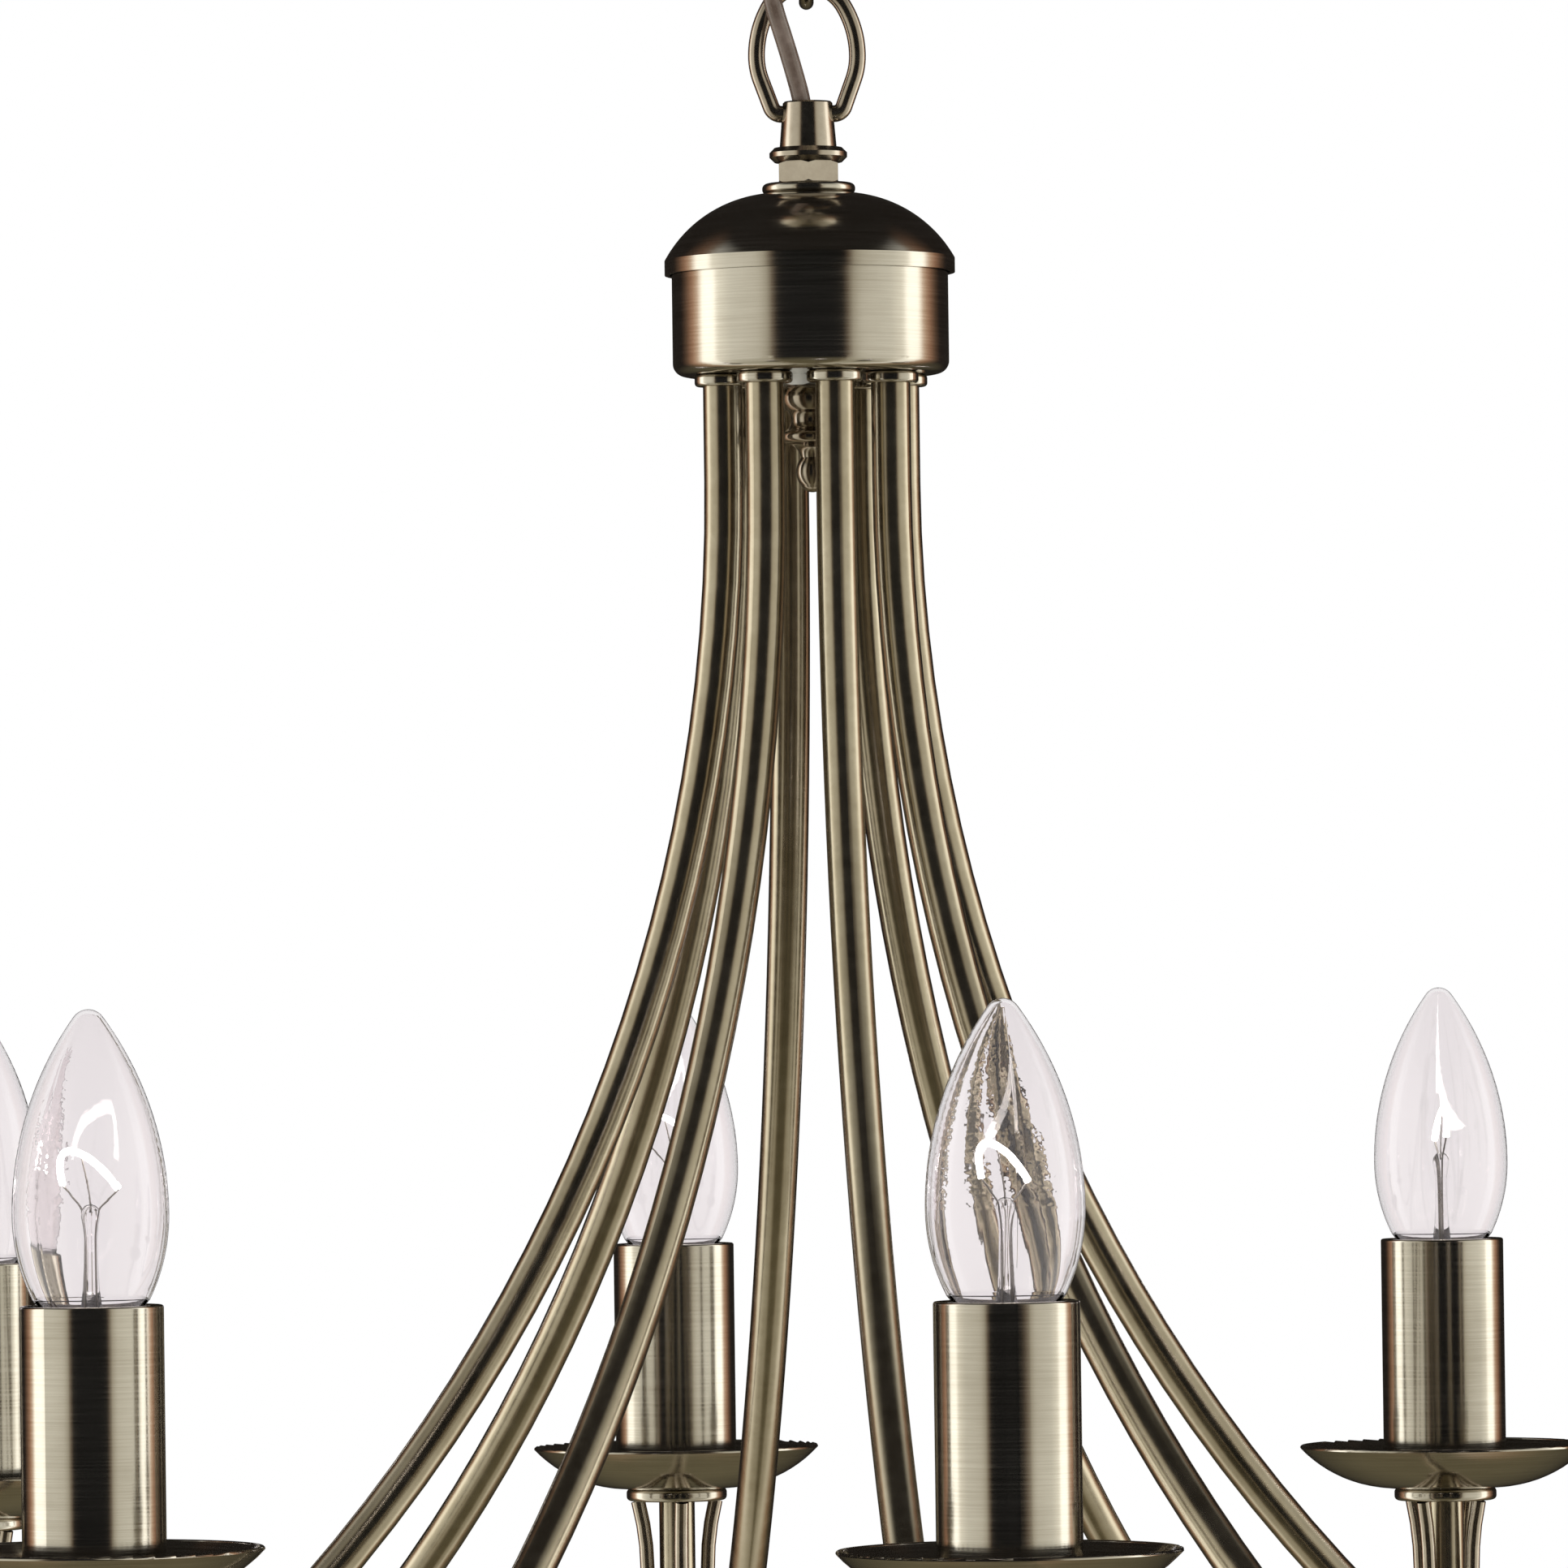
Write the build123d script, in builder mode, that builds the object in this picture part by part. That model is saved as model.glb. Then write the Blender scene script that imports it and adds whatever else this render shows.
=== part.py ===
"""Eight-arm chandelier with candle lamps, hung on a short chain from a ceiling cup.

Millimetres, +Z up. The origin is on the ceiling, at the centre of the bracket that is screwed to it,
so everything hangs below Z = 0. The first lamp stands towards -Y, a little to the +X side.
"""

from math import acos, atan, cos, degrees, pi, radians, sin, tan
import os

from build123d import *

# ---- driving dimensions ----
ARM_COUNT = 8
ARM_STEP = 360 / ARM_COUNT
CLEAR = 0.3  # space left between solids that move past each other
FIT = 0.06  # radial running clearance of the ring's ends in their holes

# ceiling fitting, downwards from the ceiling
BRACKET_LENGTH = 84.0
BRACKET_WIDTH = 22.0
BRACKET_THICK = 2.0
BRACKET_DROP = 9.0
BRACKET_FOOT = 20.0
SCREW_SPACING = 66.0
SCREW_SLOT_LENGTH = 10.0
SCREW_SLOT_RADIUS = 2.25
CEILING_CUP_RADIUS = 52.0
CEILING_CUP_HEIGHT = 28.0
SHEET = 1.2

# threaded tubes and their small hardware
NIPPLE_RADIUS = 5.0
NIPPLE_BORE = 3.6
BEAD_RADIUS = 11.25
BEAD_THICK = 2.7
HEX_ACROSS = 14.3
HEX_THICK = 5.1
COLLAR_FLANGE_RADIUS = 9.4
COLLAR_FLANGE_THICK = 3.5
COLLAR_BASE_RADIUS = 6.9
COLLAR_MOUTH_RADIUS = 6.0
COLLAR_LENGTH = 11.2
COLLAR_BORE = 4.1
PIVOT_BELOW_MOUTH = 3.0

# wire ring and chain
RING_WIRE = 2.05
RING_HEIGHT = 31.2
RING_HALF_WIDTH = 12.2
LINK_WIRE = 1.8
LINK_LENGTH = 36.0
LINK_WIDTH = 21.0
LINK_COUNT = 3
LINK_JOINT_GAP = 0.5

# dome and cup that hold the arms
DOME_RADIUS = 35.1
DOME_HEIGHT = 19.2
DOME_TOP_RADIUS = 12.5
DOME_LIP = 3.5
CUP_RADIUS = 33.4
CUP_HEIGHT = 26.0
CUP_CORNER = 3.0
ARM_CIRCLE = 22.1
ARM_HOLE_ANGLE = 14.7
ARM_TURN = 7.84

# arm: straight down, one long arc, one tight bend, straight up
TUBE_RADIUS = 4.75
TUBE_BORE = 3.75
ARM_STRAIGHT = 23.3
ARM_ARC = 395.0
ARM_BEND = 42.0
ARM_REACH = 249.5
ARM_WASHER_RADIUS = 6.75
ARM_WASHER_THICK = 2.9
ARM_PLATE_THICK = 2.0

# lamp, measured from the top of its candle sleeve
SLEEVE_RADIUS = 16.0
SLEEVE_WALL = 0.9
SLEEVE_LENGTH = 63.6
DISH_RADIUS = 37.75
DISH_DEPTH = 11.3
DISH_WALL = 1.0
PLATE_RADIUS = 13.35
PLATE_THICK = 3.3
CAGE_ROD_RADIUS = 1.9
CAGE_TOP_RADIUS = 10.4
CAGE_WAIST_RADIUS = 8.1
CAGE_LENGTH = 36.0
CAGE_COLLAR_RADIUS = 8.3
CAGE_COLLAR_LENGTH = 5.0
HOLDER_RADIUS = 12.0
HOLDER_BELOW_TOP = 10.0
HOLDER_LENGTH = 50.0
SOCKET_RADIUS = 7.4
SOCKET_DEPTH = 24.4
CAP_RADIUS = 6.8
CAP_LENGTH = 22.0
BULB_ABOVE_SLEEVE = 65.5
GLASS_WALL = 0.9

FLEX_RADIUS = 2.2
BLOCK_DEPTH = 12.0

# ---- heights worked out from the ceiling down ----
CEILING_BEAD_TOP = -CEILING_CUP_HEIGHT
CEILING_HEX_TOP = CEILING_BEAD_TOP - BEAD_THICK
CEILING_FLANGE_TOP = CEILING_HEX_TOP - HEX_THICK
CEILING_COLLAR_TOP = CEILING_FLANGE_TOP - COLLAR_FLANGE_THICK
CEILING_MOUTH = CEILING_COLLAR_TOP - COLLAR_LENGTH
UPPER_PIVOT = CEILING_MOUTH + PIVOT_BELOW_MOUTH
UPPER_RING_END = UPPER_PIVOT - RING_HEIGHT
# a ring or link hangs with its wire one gap above the wire that it rests on
RING_TO_LINK = RING_WIRE + LINK_WIRE + CLEAR
LINK_TO_LINK = 2 * LINK_WIRE + CLEAR
LINK_TOPS = [UPPER_RING_END + RING_TO_LINK]
for number in range(1, LINK_COUNT):
    LINK_TOPS.append(LINK_TOPS[-1] - LINK_LENGTH + LINK_TO_LINK)
LOWER_RING_END = LINK_TOPS[-1] - LINK_LENGTH + RING_TO_LINK
LOWER_PIVOT = LOWER_RING_END - RING_HEIGHT
BODY_MOUTH = LOWER_PIVOT + PIVOT_BELOW_MOUTH
BODY_COLLAR_BASE = BODY_MOUTH - COLLAR_LENGTH
BODY_HEX_TOP = BODY_COLLAR_BASE - COLLAR_FLANGE_THICK
BODY_BEAD_TOP = BODY_HEX_TOP - HEX_THICK
DOME_TOP = BODY_BEAD_TOP - BEAD_THICK
DOME_RIM = DOME_TOP - DOME_HEIGHT
CUP_TOP = DOME_RIM + 1.6
CUP_BOTTOM = CUP_TOP - CUP_HEIGHT
CUP_FLOOR = CUP_BOTTOM + SHEET
WASHER_BOTTOM = CUP_BOTTOM - ARM_WASHER_THICK
ARC_START = WASHER_BOTTOM - ARM_STRAIGHT
BEND_START_ANGLE = degrees(acos((ARM_ARC - ARM_REACH + ARM_BEND) / (ARM_ARC - ARM_BEND)))
BEND_CENTRE = ARC_START - (ARM_ARC - ARM_BEND) * sin(radians(BEND_START_ANGLE))
SLEEVE_TOP = LOWER_PIVOT - 279.0
DISH_BOTTOM = SLEEVE_TOP - 65.0
PLATE_BOTTOM = DISH_BOTTOM - PLATE_THICK
HOLDER_TOP = SLEEVE_TOP - HOLDER_BELOW_TOP
BULB_TIP = SLEEVE_TOP + BULB_ABOVE_SLEEVE

# ---- planes ----
HOLE_X = ARM_CIRCLE * sin(radians(ARM_HOLE_ANGLE))
HOLE_Y = -ARM_CIRCLE * cos(radians(ARM_HOLE_ANGLE))
ARM_OUTWARD = Vector(sin(radians(ARM_TURN)), -cos(radians(ARM_TURN)), 0)
ARM_PLANE = Plane(
    origin=(HOLE_X, HOLE_Y, 0),
    x_dir=ARM_OUTWARD,
    z_dir=ARM_OUTWARD.cross(Vector(0, 0, 1)),
)
LAMP_X = HOLE_X + ARM_REACH * ARM_OUTWARD.X
LAMP_Y = HOLE_Y + ARM_REACH * ARM_OUTWARD.Y
LAMP_PLANE = Plane(
    origin=(LAMP_X, LAMP_Y, 0),
    x_dir=ARM_OUTWARD,
    z_dir=ARM_OUTWARD.cross(Vector(0, 0, 1)),
)


def lamp_floor(height):
    """The horizontal plane on the first lamp's axis at one height."""
    return Plane(origin=(LAMP_X, LAMP_Y, height), x_dir=ARM_OUTWARD, z_dir=(0, 0, 1))


def hole_floor(height):
    """The horizontal plane on the first arm hole's axis at one height."""
    return Plane(origin=(HOLE_X, HOLE_Y, height), x_dir=ARM_OUTWARD, z_dir=(0, 0, 1))


def circles(piece, radius):
    """The circular edges of a piece that have one radius."""
    round_edges = piece.edges().filter_by(GeomType.CIRCLE)
    return round_edges.filter_by(lambda edge: abs(edge.radius - radius) < 0.1)


def write(piece, name):
    """Label a finished piece and write it as its own STEP file."""
    piece.part.label = name
    export_step(piece.part, f"parts/{name}.step")


def all_round(one):
    """Eight copies of a solid, one for each arm, as one group."""
    with BuildPart() as group:
        for index in range(ARM_COUNT):
            add(one.part.rotate(Axis.Z, ARM_STEP * index))
    return group


def turned(one, index):
    """The copy of a solid that belongs to one arm."""
    with BuildPart() as copy:
        add(one.part.rotate(Axis.Z, ARM_STEP * index))
    return copy


os.makedirs("parts", exist_ok=True)

# ---- ceiling bracket: two feet on the ceiling, a dropped middle for the threaded tube ----
with BuildPart() as ceiling_bracket:
    half = BRACKET_LENGTH / 2
    with BuildSketch(Plane.XZ.offset(-BRACKET_WIDTH / 2)):
        with BuildLine() as strap:
            inner = half - BRACKET_FOOT
            Polyline(
                (-half, 0),
                (-inner, 0),
                (-inner + BRACKET_DROP, -BRACKET_DROP),
                (inner - BRACKET_DROP, -BRACKET_DROP),
                (inner, 0),
                (half, 0),
                (half, -BRACKET_THICK),
                (inner + 0.8, -BRACKET_THICK),
                (inner - BRACKET_DROP + 0.8, -BRACKET_DROP - BRACKET_THICK),
                (-inner + BRACKET_DROP - 0.8, -BRACKET_DROP - BRACKET_THICK),
                (-inner - 0.8, -BRACKET_THICK),
                (-half, -BRACKET_THICK),
                close=True,
            )
        make_face()
    extrude(amount=BRACKET_WIDTH)
    with BuildSketch(Plane.XY):
        with Locations((-SCREW_SPACING / 2, 0), (SCREW_SPACING / 2, 0)):
            SlotOverall(SCREW_SLOT_LENGTH, 2 * SCREW_SLOT_RADIUS)
        Circle(NIPPLE_RADIUS + 0.05)
    extrude(amount=-2 * BRACKET_DROP, mode=Mode.SUBTRACT)
write(ceiling_bracket, "ceiling_bracket")

# ---- ceiling cup: a domed sheet shell, open to the ceiling ----
with BuildPart() as ceiling_cup:
    with BuildSketch(Plane.XZ):
        with BuildLine():
            rim = CEILING_CUP_RADIUS
            low = -CEILING_CUP_HEIGHT
            flat = Line((NIPPLE_RADIUS + 0.2, low), (12, low))
            bowl = ThreePointArc((12, low), (rim * 0.72, low * 0.76), (rim - 0.6, -6))
            side = Polyline((rim - 0.6, -6), (rim, -3.5), (rim, 0))
            top = Line((rim, 0), (rim - SHEET, 0))
            side_in = Polyline((rim - SHEET, 0), (rim - SHEET, -3.3), (rim - 0.6 - SHEET, -5.5))
            bowl_in = ThreePointArc(
                (rim - 0.6 - SHEET, -5.5),
                (rim * 0.72 - 0.7, low * 0.76 + 1.0),
                (12, low + SHEET),
            )
            flat_in = Line((12, low + SHEET), (NIPPLE_RADIUS + 0.2, low + SHEET))
            Line((NIPPLE_RADIUS + 0.2, low + SHEET), (NIPPLE_RADIUS + 0.2, low))
        make_face()
    revolve(axis=Axis.Z)
write(ceiling_cup, "ceiling_cup")


def threaded_tube(top, bottom):
    """A hollow threaded tube on the centre line, as a plain sleeve with chamfered ends."""
    with BuildPart() as tube:
        with BuildSketch(Plane.XY.offset(bottom)):
            Circle(NIPPLE_RADIUS)
            Circle(NIPPLE_BORE, mode=Mode.SUBTRACT)
        extrude(amount=top - bottom)
        chamfer(circles(tube, NIPPLE_RADIUS), 0.5)
    return tube


def hexagon_nut(top, thick, across, bore):
    """A hexagon nut with its corners turned off, hanging down from its top face."""
    with BuildPart() as nut:
        with BuildSketch(Plane.XY.offset(top - thick)):
            RegularPolygon(across / 2, 6, major_radius=False, rotation=30)
        extrude(amount=thick)
        with BuildSketch(Plane.XZ):
            with BuildLine():
                corner = across / 2 / cos(pi / 6)
                Polyline(
                    (0, top - thick),
                    (corner - 0.8, top - thick),
                    (corner, top - thick + 0.5),
                    (corner, top - 0.5),
                    (corner - 0.8, top),
                    (0, top),
                    close=True,
                )
            make_face()
        revolve(axis=Axis.Z, mode=Mode.INTERSECT)
        with BuildSketch(Plane.XY.offset(top - thick)):
            Circle(bore)
        extrude(amount=thick, mode=Mode.SUBTRACT)
    return nut


def bead_washer(top):
    """A round-edged washer."""
    with BuildPart() as bead:
        with BuildSketch(Plane.XY.offset(top - BEAD_THICK)):
            Circle(BEAD_RADIUS)
            Circle(NIPPLE_RADIUS + 0.05, mode=Mode.SUBTRACT)
        extrude(amount=BEAD_THICK)
        fillet(circles(bead, BEAD_RADIUS), BEAD_THICK * 0.46)
    return bead


def ring_collar(base, upwards):
    """The hollow cone that carries a ring: flange at its base, cross holes near its mouth."""
    way = 1 if upwards else -1
    with BuildPart() as collar:
        with BuildSketch(Plane.XZ):
            with BuildLine():
                flange_far = base - way * COLLAR_FLANGE_THICK
                mouth = base + way * COLLAR_LENGTH
                Polyline(
                    (COLLAR_BORE, flange_far),
                    (COLLAR_FLANGE_RADIUS - 1.2, flange_far),
                    (COLLAR_FLANGE_RADIUS, flange_far + way * 1.2),
                    (COLLAR_FLANGE_RADIUS, base - way * 1.2),
                    (COLLAR_FLANGE_RADIUS - 1.2, base),
                    (COLLAR_BASE_RADIUS, base),
                    (COLLAR_MOUTH_RADIUS, mouth - way * 0.4),
                    (COLLAR_MOUTH_RADIUS - 0.4, mouth),
                    (COLLAR_BORE, mouth),
                    close=True,
                )
            make_face()
        revolve(axis=Axis.Z)
        pivot = mouth - way * PIVOT_BELOW_MOUTH
        with BuildSketch(Plane.YZ.offset(-10)):
            with Locations((0, pivot)):
                Circle(RING_WIRE + FIT)
        extrude(amount=20, mode=Mode.SUBTRACT)
    return collar


ceiling_nipple = threaded_tube(-BRACKET_DROP + 4, CEILING_FLANGE_TOP + 0.0)
write(ceiling_nipple, "ceiling_nipple")

with BuildPart() as ceiling_locknuts:
    nut_above = hexagon_nut(-BRACKET_DROP + 3.2, 3.2, 15, NIPPLE_RADIUS + 0.02)
    nut_below = hexagon_nut(-BRACKET_DROP - BRACKET_THICK, 3.2, 15, NIPPLE_RADIUS + 0.02)
    add(nut_above.part)
    add(nut_below.part)
write(ceiling_locknuts, "ceiling_locknuts")

ceiling_washer = bead_washer(CEILING_BEAD_TOP)
write(ceiling_washer, "ceiling_washer")

ceiling_hex_nut = hexagon_nut(CEILING_HEX_TOP, HEX_THICK, HEX_ACROSS, NIPPLE_RADIUS + 0.02)
write(ceiling_hex_nut, "ceiling_hex_nut")

ceiling_collar = ring_collar(CEILING_COLLAR_TOP, False)
write(ceiling_collar, "ceiling_collar")


def terminal_block(centre, base):
    """A three-way screw terminal block, a plastic bar with its wire holes and screw wells."""
    pitch = 7.5
    with BuildPart() as block:
        with Locations((centre[0], centre[1], base)):
            Box(3 * pitch, BLOCK_DEPTH, 9, align=(Align.CENTER, Align.CENTER, Align.MIN))
        fillet(block.edges().filter_by(Axis.Z), 1.2)
        for step in (-pitch, 0, pitch):
            with BuildSketch(Plane.XZ.offset(-centre[1] + 8)):
                with Locations((centre[0] + step, base + 3.4)):
                    Circle(1.5)
            extrude(amount=-16, mode=Mode.SUBTRACT)
            for side in (-3, 3):
                with BuildSketch(Plane.XY.offset(base + 9)):
                    with Locations((centre[0] + step, centre[1] + side)):
                        Circle(1.7)
                extrude(amount=-3.4, mode=Mode.SUBTRACT)
    return block


ceiling_terminal_block = terminal_block((0, (BRACKET_WIDTH + BLOCK_DEPTH) / 2), -15.0)
write(ceiling_terminal_block, "ceiling_terminal_block")


def wire_ring(pivot, upwards):
    """An oval wire ring whose two ends turn inwards into the cross holes of its collar."""
    way = 1 if upwards else -1
    stub = 4.4
    stub_end = 6.35
    tight = 2.6
    with BuildPart() as ring:
        with BuildLine(Plane(origin=(0, 0, pivot), x_dir=(1, 0, 0), z_dir=(0, -way, 0))):
            start = Line((stub, 0), (stub_end, 0))
            turn = JernArc(start @ 1, (1, 0), tight, 70)
            flank = Line(turn @ 1, turn @ 1 + 7 * (turn % 1))
            lower_radius = (RING_HALF_WIDTH - (flank @ 1).X) / (1 - sin(radians(70)))
            lower = JernArc(flank @ 1, flank % 1, lower_radius, 20)
            rise = RING_HEIGHT - abs((lower @ 1).Z - pivot)
            small = (RING_HALF_WIDTH - (1 - sin(radians(60))) * rise * 2) / (2 * sin(radians(60)) - 1)
            upper = JernArc(lower @ 1, (0, 1), 2 * rise - small, 30)
            crown = JernArc(upper @ 1, upper % 1, small, 60)
            mirror(about=Plane.YZ)
        with BuildSketch(Plane(origin=(stub, 0, pivot), z_dir=(1, 0, 0))):
            Circle(RING_WIRE)
        sweep()
    return ring


upper_ring = wire_ring(UPPER_PIVOT, False)
write(upper_ring, "upper_ring")
lower_ring = wire_ring(LOWER_PIVOT, True)
write(lower_ring, "lower_ring")


def chain_link(top, across):
    """A stadium link of bent wire, left open by a saw's width in the middle of one leg."""
    end = LINK_WIDTH / 2
    straight_top = top - end
    straight_low = top - LINK_LENGTH + end
    middle = (straight_top + straight_low) / 2
    with BuildPart() as link:
        with BuildLine(Plane(origin=(0, 0, 0), x_dir=across, z_dir=Vector(across).cross(Vector(0, 0, 1)))):
            leg = Line((end, middle + LINK_JOINT_GAP / 2), (end, straight_top))
            over = JernArc(leg @ 1, (0, 1), end, 180)
            back = Line(over @ 1, (-end, straight_low))
            under = JernArc(back @ 1, (0, -1), end, 180)
            Line(under @ 1, (end, middle - LINK_JOINT_GAP / 2))
        place = Vector(across) * end + Vector(0, 0, middle + LINK_JOINT_GAP / 2)
        with BuildSketch(Plane(origin=place, z_dir=(0, 0, 1))):
            Circle(LINK_WIRE)
        sweep()
    return link


for number, link_top in enumerate(LINK_TOPS, start=1):
    direction = (1, 0, 0) if number % 2 == 0 else (0, 1, 0)
    write(chain_link(link_top, direction), f"chain_link_{number}")

# ---- body: collar, nut and bead on the dome and cup ----
body_collar = ring_collar(BODY_COLLAR_BASE, True)
write(body_collar, "body_collar")
body_hex_nut = hexagon_nut(BODY_HEX_TOP, HEX_THICK, HEX_ACROSS, NIPPLE_RADIUS + 0.02)
write(body_hex_nut, "body_hex_nut")
body_washer = bead_washer(BODY_BEAD_TOP)
write(body_washer, "body_washer")

with BuildPart() as dome_cap:
    with BuildSketch(Plane.XZ):
        with BuildLine():
            shoulder = (DOME_RADIUS, DOME_RIM + DOME_LIP)
            Line((NIPPLE_RADIUS + 0.2, DOME_TOP), (DOME_TOP_RADIUS, DOME_TOP))
            ThreePointArc((DOME_TOP_RADIUS, DOME_TOP), (26.5, DOME_RIM + 13.4), shoulder)
            Line(shoulder, (DOME_RADIUS, DOME_RIM))
            Line((DOME_RADIUS, DOME_RIM), (DOME_RADIUS - SHEET, DOME_RIM))
            Line((DOME_RADIUS - SHEET, DOME_RIM), (DOME_RADIUS - SHEET, DOME_RIM + DOME_LIP - 0.3))
            ThreePointArc(
                (DOME_RADIUS - SHEET, DOME_RIM + DOME_LIP - 0.3),
                (25.8, DOME_RIM + 12.4),
                (DOME_TOP_RADIUS, DOME_TOP - SHEET),
            )
            Line((DOME_TOP_RADIUS, DOME_TOP - SHEET), (NIPPLE_RADIUS + 0.2, DOME_TOP - SHEET))
            Line((NIPPLE_RADIUS + 0.2, DOME_TOP - SHEET), (NIPPLE_RADIUS + 0.2, DOME_TOP))
        make_face()
    revolve(axis=Axis.Z)
write(dome_cap, "dome_cap")

with BuildPart() as body_cup:
    with BuildSketch(Plane.XY.offset(CUP_BOTTOM)):
        Circle(CUP_RADIUS)
    extrude(amount=CUP_HEIGHT)
    fillet(body_cup.faces().sort_by(Axis.Z)[0].edges(), CUP_CORNER)
    open_top = body_cup.faces().sort_by(Axis.Z)[-1]
    offset(amount=-SHEET, openings=open_top)
    with BuildSketch(Plane.XY.offset(CUP_BOTTOM)):
        Circle(NIPPLE_RADIUS + 0.1)
        with Locations((HOLE_X, HOLE_Y)):
            hole = Circle(TUBE_RADIUS + 0.05)
    extrude(amount=SHEET, mode=Mode.SUBTRACT)
    for index in range(1, ARM_COUNT):
        angle = radians(ARM_STEP * index)
        spot = (HOLE_X * cos(angle) - HOLE_Y * sin(angle), HOLE_X * sin(angle) + HOLE_Y * cos(angle))
        with BuildSketch(Plane.XY.offset(CUP_BOTTOM)):
            with Locations(spot):
                Circle(TUBE_RADIUS + 0.05)
        extrude(amount=SHEET, mode=Mode.SUBTRACT)
write(body_cup, "body_cup")

# steel plate inside the cup that takes the load of the arms
with BuildPart() as arm_plate:
    with BuildSketch(Plane.XY.offset(CUP_FLOOR)):
        Circle(CUP_RADIUS - SHEET - CUP_CORNER)
        Circle(NIPPLE_RADIUS + 0.05, mode=Mode.SUBTRACT)
        for index in range(ARM_COUNT):
            angle = radians(ARM_STEP * index)
            spot = (HOLE_X * cos(angle) - HOLE_Y * sin(angle), HOLE_X * sin(angle) + HOLE_Y * cos(angle))
            with Locations(spot):
                Circle(TUBE_RADIUS + 0.05, mode=Mode.SUBTRACT)
    extrude(amount=ARM_PLATE_THICK)
write(arm_plate, "arm_plate")

BODY_CUP_NUT_THICK = 2.6
NIPPLE_LOW = CUP_BOTTOM - 7.0
body_nipple = threaded_tube(BODY_HEX_TOP, NIPPLE_LOW)
write(body_nipple, "body_nipple")

with BuildPart() as body_locknuts:
    plate_nut = hexagon_nut(CUP_FLOOR + ARM_PLATE_THICK + 3.2, 3.2, 15, NIPPLE_RADIUS + 0.02)
    cup_nut = hexagon_nut(CUP_BOTTOM, BODY_CUP_NUT_THICK, 13, NIPPLE_RADIUS + 0.02)
    dome_nut = hexagon_nut(DOME_TOP - SHEET, 3.2, 15, NIPPLE_RADIUS + 0.02)
    add(plate_nut.part)
    add(cup_nut.part)
    add(dome_nut.part)
write(body_locknuts, "body_locknuts")

body_terminal_block = terminal_block((0, 18), CUP_FLOOR + ARM_PLATE_THICK + 7.0)
write(body_terminal_block, "body_terminal_block")

# turned drop finial that closes the threaded tube under the cup
FINIAL_BULGE = 7.2
FINIAL_KNOP = 7.6
FINIAL_NECK = 4.9
FINIAL_LENGTH = 28.4
FINIAL_TIP = 3.1
with BuildPart() as bottom_finial:
    top = CUP_BOTTOM - BODY_CUP_NUT_THICK
    tip = (0, CUP_BOTTOM - FINIAL_LENGTH)
    neck = (FINIAL_NECK, CUP_BOTTOM - 10.7)
    knop = (FINIAL_KNOP, CUP_BOTTOM - 15.2)
    waist = (2.7, CUP_BOTTOM - 20.0)
    with BuildSketch(Plane.XZ):
        with BuildLine():
            tip_ball = CenterArc((0, tip[1] + FINIAL_TIP), FINIAL_TIP, -90, 60)
            Line((NIPPLE_RADIUS + 0.02, top), (6.0, top))
            ThreePointArc((6.0, top), (FINIAL_BULGE, top - 3.2), (6.1, top - 6.0))
            ThreePointArc((6.1, top - 6.0), neck, (6.6, CUP_BOTTOM - 13.6))
            ThreePointArc((6.6, CUP_BOTTOM - 13.6), knop, (6.2, CUP_BOTTOM - 16.6))
            ThreePointArc((6.2, CUP_BOTTOM - 16.6), (3.7, CUP_BOTTOM - 18.0), waist)
            ThreePointArc(waist, (3.9, CUP_BOTTOM - 24.0), tip_ball @ 1)
            Polyline(
                tip,
                (0, NIPPLE_LOW - 0.5),
                (NIPPLE_RADIUS + 0.02, NIPPLE_LOW - 0.5),
                (NIPPLE_RADIUS + 0.02, top),
            )
        make_face()
    revolve(axis=Axis.Z)
write(bottom_finial, "bottom_finial")

# ---- arms ----


def arm_line():
    """One arm's centre line in its own upright plane, from inside the cup to inside the dish."""
    tube_top = CUP_FLOOR + ARM_PLATE_THICK + 6
    down = Line((0, tube_top), (0, ARC_START))
    long_arc = JernArc(down @ 1, (0, -1), ARM_ARC, BEND_START_ANGLE)
    bend = JernArc(long_arc @ 1, long_arc % 1, ARM_BEND, 180 - BEND_START_ANGLE)
    Line(bend @ 1, (ARM_REACH, PLATE_BOTTOM))


with BuildPart() as arm:
    with BuildLine(ARM_PLANE):
        arm_line()
    with BuildSketch(hole_floor(CUP_FLOOR + ARM_PLATE_THICK + 6)):
        Circle(TUBE_RADIUS)
        Circle(TUBE_BORE, mode=Mode.SUBTRACT)
    sweep()
for index in range(ARM_COUNT):
    write(turned(arm, index), f"arm_{index + 1}")

with BuildPart() as arm_washer:
    with BuildSketch(hole_floor(WASHER_BOTTOM)):
        Circle(ARM_WASHER_RADIUS)
        Circle(TUBE_RADIUS + 0.02, mode=Mode.SUBTRACT)
    extrude(amount=ARM_WASHER_THICK)
    fillet(circles(arm_washer, ARM_WASHER_RADIUS), 0.9)
write(all_round(arm_washer), "arm_washers")

with BuildPart() as arm_nut:
    with BuildSketch(hole_floor(CUP_FLOOR + ARM_PLATE_THICK)):
        RegularPolygon(6.9, 6, major_radius=False)
        Circle(TUBE_RADIUS + 0.02, mode=Mode.SUBTRACT)
    extrude(amount=3.0)
write(all_round(arm_nut), "arm_nuts")

# ---- lamp stand: plate, cage of four rods, collar, dish ----
with BuildPart() as cage_plate:
    with BuildSketch(lamp_floor(PLATE_BOTTOM)):
        Circle(PLATE_RADIUS)
        Circle(NIPPLE_RADIUS + 0.05, mode=Mode.SUBTRACT)
    extrude(amount=PLATE_THICK)
    fillet(circles(cage_plate, PLATE_RADIUS), 1.2)
write(all_round(cage_plate), "cage_plates")

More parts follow.
